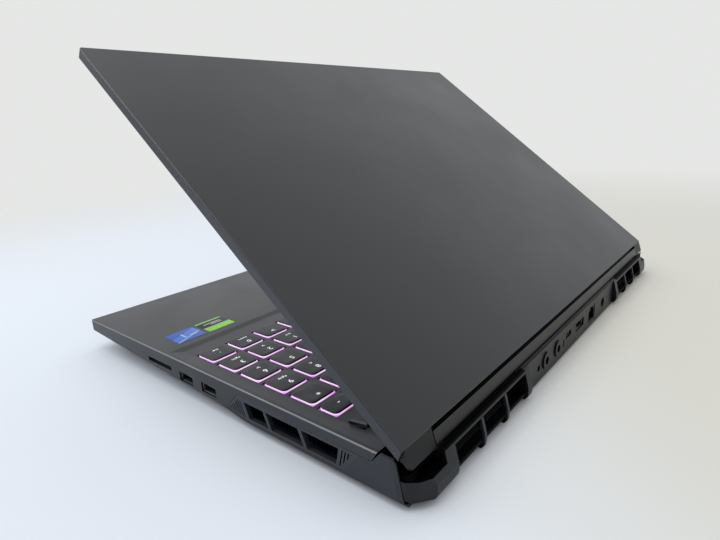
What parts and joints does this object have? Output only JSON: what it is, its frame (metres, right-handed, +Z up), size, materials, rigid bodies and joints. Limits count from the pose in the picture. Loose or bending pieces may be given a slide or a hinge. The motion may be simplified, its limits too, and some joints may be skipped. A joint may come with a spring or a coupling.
{
  "type": "laptop computer",
  "caption": "Open 16-inch performance laptop with hinged lid, full keyboard with number pad, touchpad, side and rear air vents, and rear sockets.",
  "frame": {"origin": "on the table, under the centre of the base", "axes": "+X to the user's right along the keyboard, +Y to the rear, +Z up"},
  "size_m": [0.36, 0.27, 0.1872],
  "materials": {
    "case_metal": "matt bead-blasted, dark grey",
    "side_plastic": "fine matt moulded, bluish dark grey",
    "vent_trim": "satin moulded",
    "black_plastic": "fine matt",
    "key_plastic": "matt caps",
    "touch_surface": "smooth matt",
    "lid_metal": "matt, fine sandblasted",
    "hinge_trim": "satin",
    "screen_glass": "anti-glare film",
    "rubber": "matt",
    "steel": "stamped",
    "circuit_board": "solder mask",
    "copper": "satin",
    "cooling_fins": "bright stamped",
    "fan_plastic": "fine matt",
    "battery_wrap": "film-wrapped",
    "coupling_metal": "anodised"
  },
  "bodies": {
    "base": {"top_case": "case_metal", "bottom_cover": "side_plastic", "rear_housing": "side_plastic", "rear_vent_left": "vent_trim", "rear_vent_right": "vent_trim", "side_grille_left": "vent_trim", "side_grille_right": "vent_trim", "keyboard_plate": "black_plastic", "hinge_bracket_left": "steel", "hinge_bracket_right": "steel", "mainboard": "circuit_board", "memory_modules": "circuit_board", "storage_modules": "circuit_board", "wireless_card": "circuit_board", "heat_pipes": "copper", "rear_fins_left": "cooling_fins", "rear_fins_right": "cooling_fins", "side_fins_left": "cooling_fins", "side_fins_right": "cooling_fins", "fan_housing_left": "black_plastic", "fan_housing_right": "black_plastic", "battery_pack": "battery_wrap", "speaker_left": "black_plastic", "speaker_right": "black_plastic", "usb_a_sockets_right": "steel", "usb_a_socket_left": "steel", "card_reader": "steel", "audio_sockets": "black_plastic", "usb_c_socket": "steel", "hdmi_socket": "steel", "network_socket": "black_plastic", "power_inlet": "black_plastic", "coolant_couplings": "coupling_metal", "rubber_feet": "rubber", "case_screws": "steel"},
    "lid": {"lid_cover": "lid_metal", "display_bezel": "black_plastic", "display_panel": "screen_glass", "webcam_module": "black_plastic", "lid_seal": "rubber", "hinge_strip": "hinge_trim", "hinge_cap_left": "lid_metal", "hinge_cap_right": "lid_metal", "hinge_arm_left": "steel", "hinge_arm_right": "steel"},
    "fan_left": {"fan_impeller_left": "fan_plastic"},
    "fan_right": {"fan_impeller_right": "fan_plastic"},
    "touchpad": {"touchpad": "touch_surface"},
    "function_row": {"function_keys": "key_plastic"},
    "number_row": {"number_keys": "key_plastic"},
    "upper_letter_row": {"upper_letter_keys": "key_plastic"},
    "home_letter_row": {"home_letter_keys": "key_plastic"},
    "lower_letter_row": {"lower_letter_keys": "key_plastic"},
    "bottom_row": {"bottom_keys": "key_plastic"},
    "space_bar": {"space_bar": "key_plastic"},
    "arrow_up": {"arrow_up_key": "key_plastic"},
    "arrow_left": {"arrow_left_key": "key_plastic"},
    "arrow_down": {"arrow_down_key": "key_plastic"},
    "arrow_right": {"arrow_right_key": "key_plastic"},
    "power_key": {"power_key": "key_plastic"}
  },
  "joints": [
    {"name": "lid_hinge", "type": "hinge", "parent": "base", "child": "lid", "pos_m": [0, 0.12415, 0.02105], "axis": [-1, 0, 0], "range_deg": [-38.7, 91.3]},
    {"name": "fan_left_spin", "type": "hinge", "parent": "base", "child": "fan_left", "pos_m": [-0.11, 0.062, 0.0077], "axis": [0, 0, 1], "continuous": true},
    {"name": "fan_right_spin", "type": "hinge", "parent": "base", "child": "fan_right", "pos_m": [0.11, 0.062, 0.0077], "axis": [0, 0, 1], "continuous": true},
    {"name": "touchpad_click", "type": "hinge", "parent": "base", "child": "touchpad", "pos_m": [-0.0285, -0.0402, 0.01895], "axis": [1, 0, 0], "range_deg": [0, 0.45], "stiffness_Nm_per_rad": 0.5, "springref_deg": -5.73},
    {"name": "function_row_press", "type": "slide", "parent": "base", "child": "function_row", "axis": [0, 0, -1], "range_m": [0, 0.0017], "stiffness_N_per_m": 200, "springref_m": -0.003},
    {"name": "number_row_press", "type": "slide", "parent": "base", "child": "number_row", "axis": [0, 0, -1], "range_m": [0, 0.0017], "stiffness_N_per_m": 200, "springref_m": -0.003},
    {"name": "upper_letter_row_press", "type": "slide", "parent": "base", "child": "upper_letter_row", "axis": [0, 0, -1], "range_m": [0, 0.0017], "stiffness_N_per_m": 200, "springref_m": -0.003},
    {"name": "home_letter_row_press", "type": "slide", "parent": "base", "child": "home_letter_row", "axis": [0, 0, -1], "range_m": [0, 0.0017], "stiffness_N_per_m": 200, "springref_m": -0.003},
    {"name": "lower_letter_row_press", "type": "slide", "parent": "base", "child": "lower_letter_row", "axis": [0, 0, -1], "range_m": [0, 0.0017], "stiffness_N_per_m": 200, "springref_m": -0.003},
    {"name": "bottom_row_press", "type": "slide", "parent": "base", "child": "bottom_row", "axis": [0, 0, -1], "range_m": [0, 0.0017], "stiffness_N_per_m": 200, "springref_m": -0.003},
    {"name": "space_bar_press", "type": "slide", "parent": "base", "child": "space_bar", "axis": [0, 0, -1], "range_m": [0, 0.0017], "stiffness_N_per_m": 200, "springref_m": -0.003},
    {"name": "arrow_up_press", "type": "slide", "parent": "base", "child": "arrow_up", "axis": [0, 0, -1], "range_m": [0, 0.0017], "stiffness_N_per_m": 150, "springref_m": -0.003},
    {"name": "arrow_left_press", "type": "slide", "parent": "base", "child": "arrow_left", "axis": [0, 0, -1], "range_m": [0, 0.0017], "stiffness_N_per_m": 150, "springref_m": -0.003},
    {"name": "arrow_down_press", "type": "slide", "parent": "base", "child": "arrow_down", "axis": [0, 0, -1], "range_m": [0, 0.0017], "stiffness_N_per_m": 150, "springref_m": -0.003},
    {"name": "arrow_right_press", "type": "slide", "parent": "base", "child": "arrow_right", "axis": [0, 0, -1], "range_m": [0, 0.0017], "stiffness_N_per_m": 150, "springref_m": -0.003},
    {"name": "power_key_press", "type": "slide", "parent": "base", "child": "power_key", "axis": [0, 0, -1], "range_m": [0, 0.0008], "stiffness_N_per_m": 150, "springref_m": -0.003}
  ]
}
